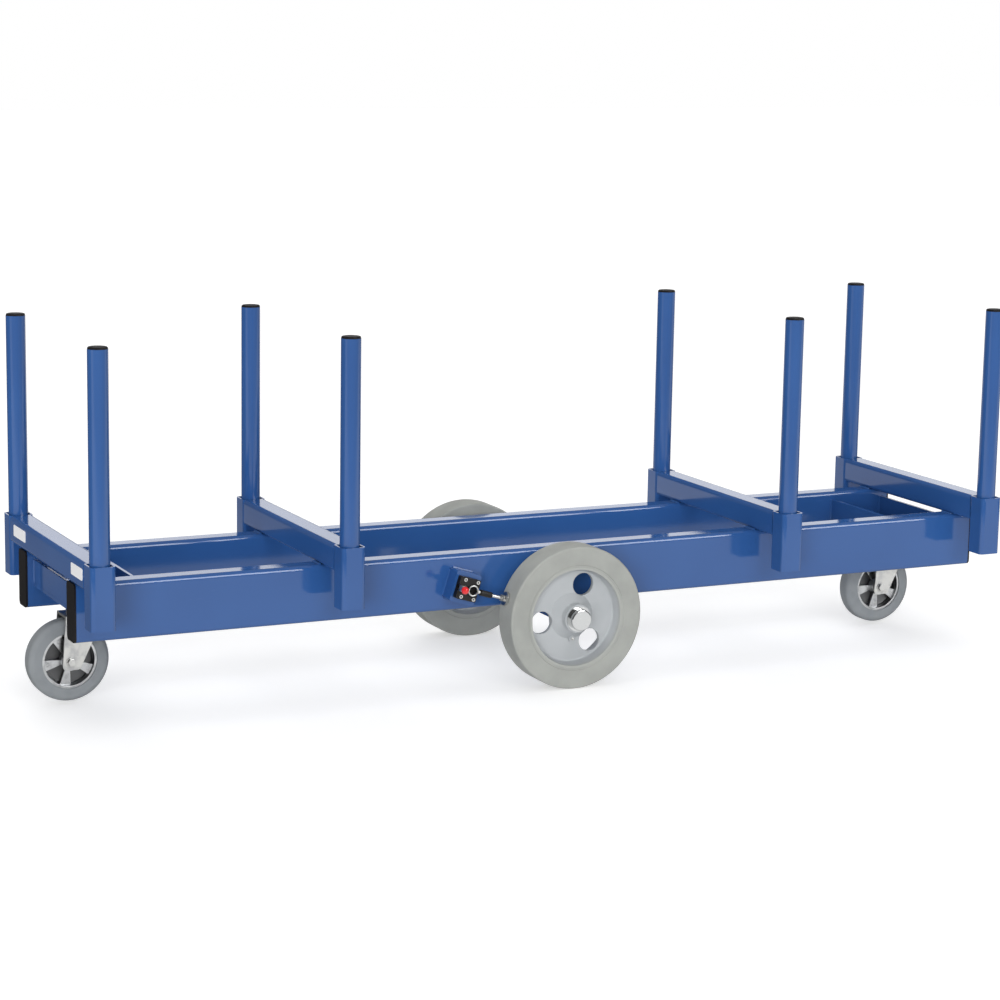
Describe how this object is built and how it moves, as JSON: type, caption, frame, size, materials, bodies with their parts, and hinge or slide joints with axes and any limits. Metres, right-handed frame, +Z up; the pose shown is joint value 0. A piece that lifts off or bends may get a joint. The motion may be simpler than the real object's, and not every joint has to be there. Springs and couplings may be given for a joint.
{
  "type": "long material cart",
  "caption": "Low long cart of square tube for bars and boards, with loose upright stakes in sockets, large middle wheels, a swivel castor at either end and a hand brake.",
  "frame": {"origin": "on the floor under the middle of the whole cart", "axes": "+X along the cart towards the right end in the picture, +Y from the brake side to the far side, +Z up"},
  "size_m": [2.55, 0.74, 0.905],
  "materials": {
    "blue_paint": "glossy",
    "black_plastic": "satin",
    "grey_rubber": "matte",
    "castor_rubber": "matte",
    "grey_paint": "satin",
    "chrome": "polished",
    "zinc_plate": "satin",
    "bearing_steel": "satin",
    "cast_aluminium": "satin",
    "black_casting": "satin",
    "red_plastic": "glossy"
  },
  "bodies": {
    "frame": {"rail_near": "blue_paint", "rail_far": "blue_paint", "rail_end_caps": "black_plastic", "bearer_1": "blue_paint", "bearer_2": "blue_paint", "bearer_3": "blue_paint", "bearer_4": "blue_paint", "stake_sockets_near": "blue_paint", "stake_sockets_far": "blue_paint", "cross_plates": "blue_paint", "castor_seats": "blue_paint", "castor_top_plates": "zinc_plate", "castor_bolts": "zinc_plate", "swivel_bearings": "bearing_steel", "king_pins": "zinc_plate", "axle_beam": "blue_paint", "wheel_retainers": "zinc_plate", "brake_bracket": "blue_paint", "brake_base": "black_casting", "brake_screws": "zinc_plate", "brake_lever_pin": "zinc_plate"},
    "stake_near_1": {"stake_near_1": "blue_paint", "stake_plug_near_1": "black_plastic"},
    "stake_near_2": {"stake_near_2": "blue_paint", "stake_plug_near_2": "black_plastic"},
    "stake_near_3": {"stake_near_3": "blue_paint", "stake_plug_near_3": "black_plastic"},
    "stake_near_4": {"stake_near_4": "blue_paint", "stake_plug_near_4": "black_plastic"},
    "stake_far_1": {"stake_far_1": "blue_paint", "stake_plug_far_1": "black_plastic"},
    "stake_far_2": {"stake_far_2": "blue_paint", "stake_plug_far_2": "black_plastic"},
    "stake_far_3": {"stake_far_3": "blue_paint", "stake_plug_far_3": "black_plastic"},
    "stake_far_4": {"stake_far_4": "blue_paint", "stake_plug_far_4": "black_plastic"},
    "wheel_near": {"wheel_near_tyre": "grey_rubber", "wheel_near_rim": "grey_paint", "wheel_near_bearings": "bearing_steel", "wheel_near_hub_cap": "chrome"},
    "wheel_far": {"wheel_far_tyre": "grey_rubber", "wheel_far_rim": "grey_paint", "wheel_far_bearings": "bearing_steel", "wheel_far_hub_cap": "chrome"},
    "castor_left_swivel": {"castor_left_fork": "zinc_plate", "castor_left_axle": "zinc_plate"},
    "castor_left_wheel": {"castor_left_rim": "cast_aluminium", "castor_left_tyre": "castor_rubber", "castor_left_bearings": "bearing_steel"},
    "castor_right_swivel": {"castor_right_fork": "zinc_plate", "castor_right_axle": "zinc_plate"},
    "castor_right_wheel": {"castor_right_rim": "cast_aluminium", "castor_right_tyre": "castor_rubber", "castor_right_bearings": "bearing_steel"},
    "brake_lever": {"brake_lever": "zinc_plate", "brake_lever_knob": "red_plastic"},
    "brake_plunger": {"brake_plunger": "zinc_plate", "brake_plunger_nut": "zinc_plate", "brake_shoe": "zinc_plate"}
  },
  "joints": [
    {"name": "stake_near_1_lift", "type": "slide", "parent": "frame", "child": "stake_near_1", "axis": [0, 0, 1], "range_m": [0, 0.15]},
    {"name": "stake_near_2_lift", "type": "slide", "parent": "frame", "child": "stake_near_2", "axis": [0, 0, 1], "range_m": [0, 0.15]},
    {"name": "stake_near_3_lift", "type": "slide", "parent": "frame", "child": "stake_near_3", "axis": [0, 0, 1], "range_m": [0, 0.15]},
    {"name": "stake_near_4_lift", "type": "slide", "parent": "frame", "child": "stake_near_4", "axis": [0, 0, 1], "range_m": [0, 0.15]},
    {"name": "stake_far_1_lift", "type": "slide", "parent": "frame", "child": "stake_far_1", "axis": [0, 0, 1], "range_m": [0, 0.15]},
    {"name": "stake_far_2_lift", "type": "slide", "parent": "frame", "child": "stake_far_2", "axis": [0, 0, 1], "range_m": [0, 0.15]},
    {"name": "stake_far_3_lift", "type": "slide", "parent": "frame", "child": "stake_far_3", "axis": [0, 0, 1], "range_m": [0, 0.15]},
    {"name": "stake_far_4_lift", "type": "slide", "parent": "frame", "child": "stake_far_4", "axis": [0, 0, 1], "range_m": [0, 0.15]},
    {"name": "wheel_near_spin", "type": "hinge", "parent": "frame", "child": "wheel_near", "pos_m": [0.025, -0.305, 0.18], "axis": [0, 1, 0], "continuous": true},
    {"name": "wheel_far_spin", "type": "hinge", "parent": "frame", "child": "wheel_far", "pos_m": [0.025, 0.305, 0.18], "axis": [0, 1, 0], "continuous": true},
    {"name": "castor_left_turn", "type": "hinge", "parent": "frame", "child": "castor_left_swivel", "pos_m": [-1.125, 0, 0.22], "axis": [0, 0, 1], "continuous": true},
    {"name": "castor_left_spin", "type": "hinge", "parent": "castor_left_swivel", "child": "castor_left_wheel", "pos_m": [-1.175, 0, 0.108], "axis": [0, 1, 0], "continuous": true},
    {"name": "castor_right_turn", "type": "hinge", "parent": "frame", "child": "castor_right_swivel", "pos_m": [1.175, 0, 0.22], "axis": [0, 0, 1], "continuous": true},
    {"name": "castor_right_spin", "type": "hinge", "parent": "castor_right_swivel", "child": "castor_right_wheel", "pos_m": [1.125, 0, 0.108], "axis": [0, 1, 0], "continuous": true},
    {"name": "brake_lever_swing", "type": "hinge", "parent": "frame", "child": "brake_lever", "pos_m": [-0.26763, -0.28309, 0.26947], "axis": [-0.2924, 0, -0.9563], "range_deg": [0, 70]},
    {"name": "brake_plunger_slide", "type": "slide", "parent": "frame", "child": "brake_plunger", "axis": [-0.9563, 0, 0.2924], "range_m": [0, 0.01387]}
  ],
  "couplings": [
    {"joint": "brake_plunger_slide", "follows": "brake_lever_swing", "m_per_rad": 0.011267}
  ]
}
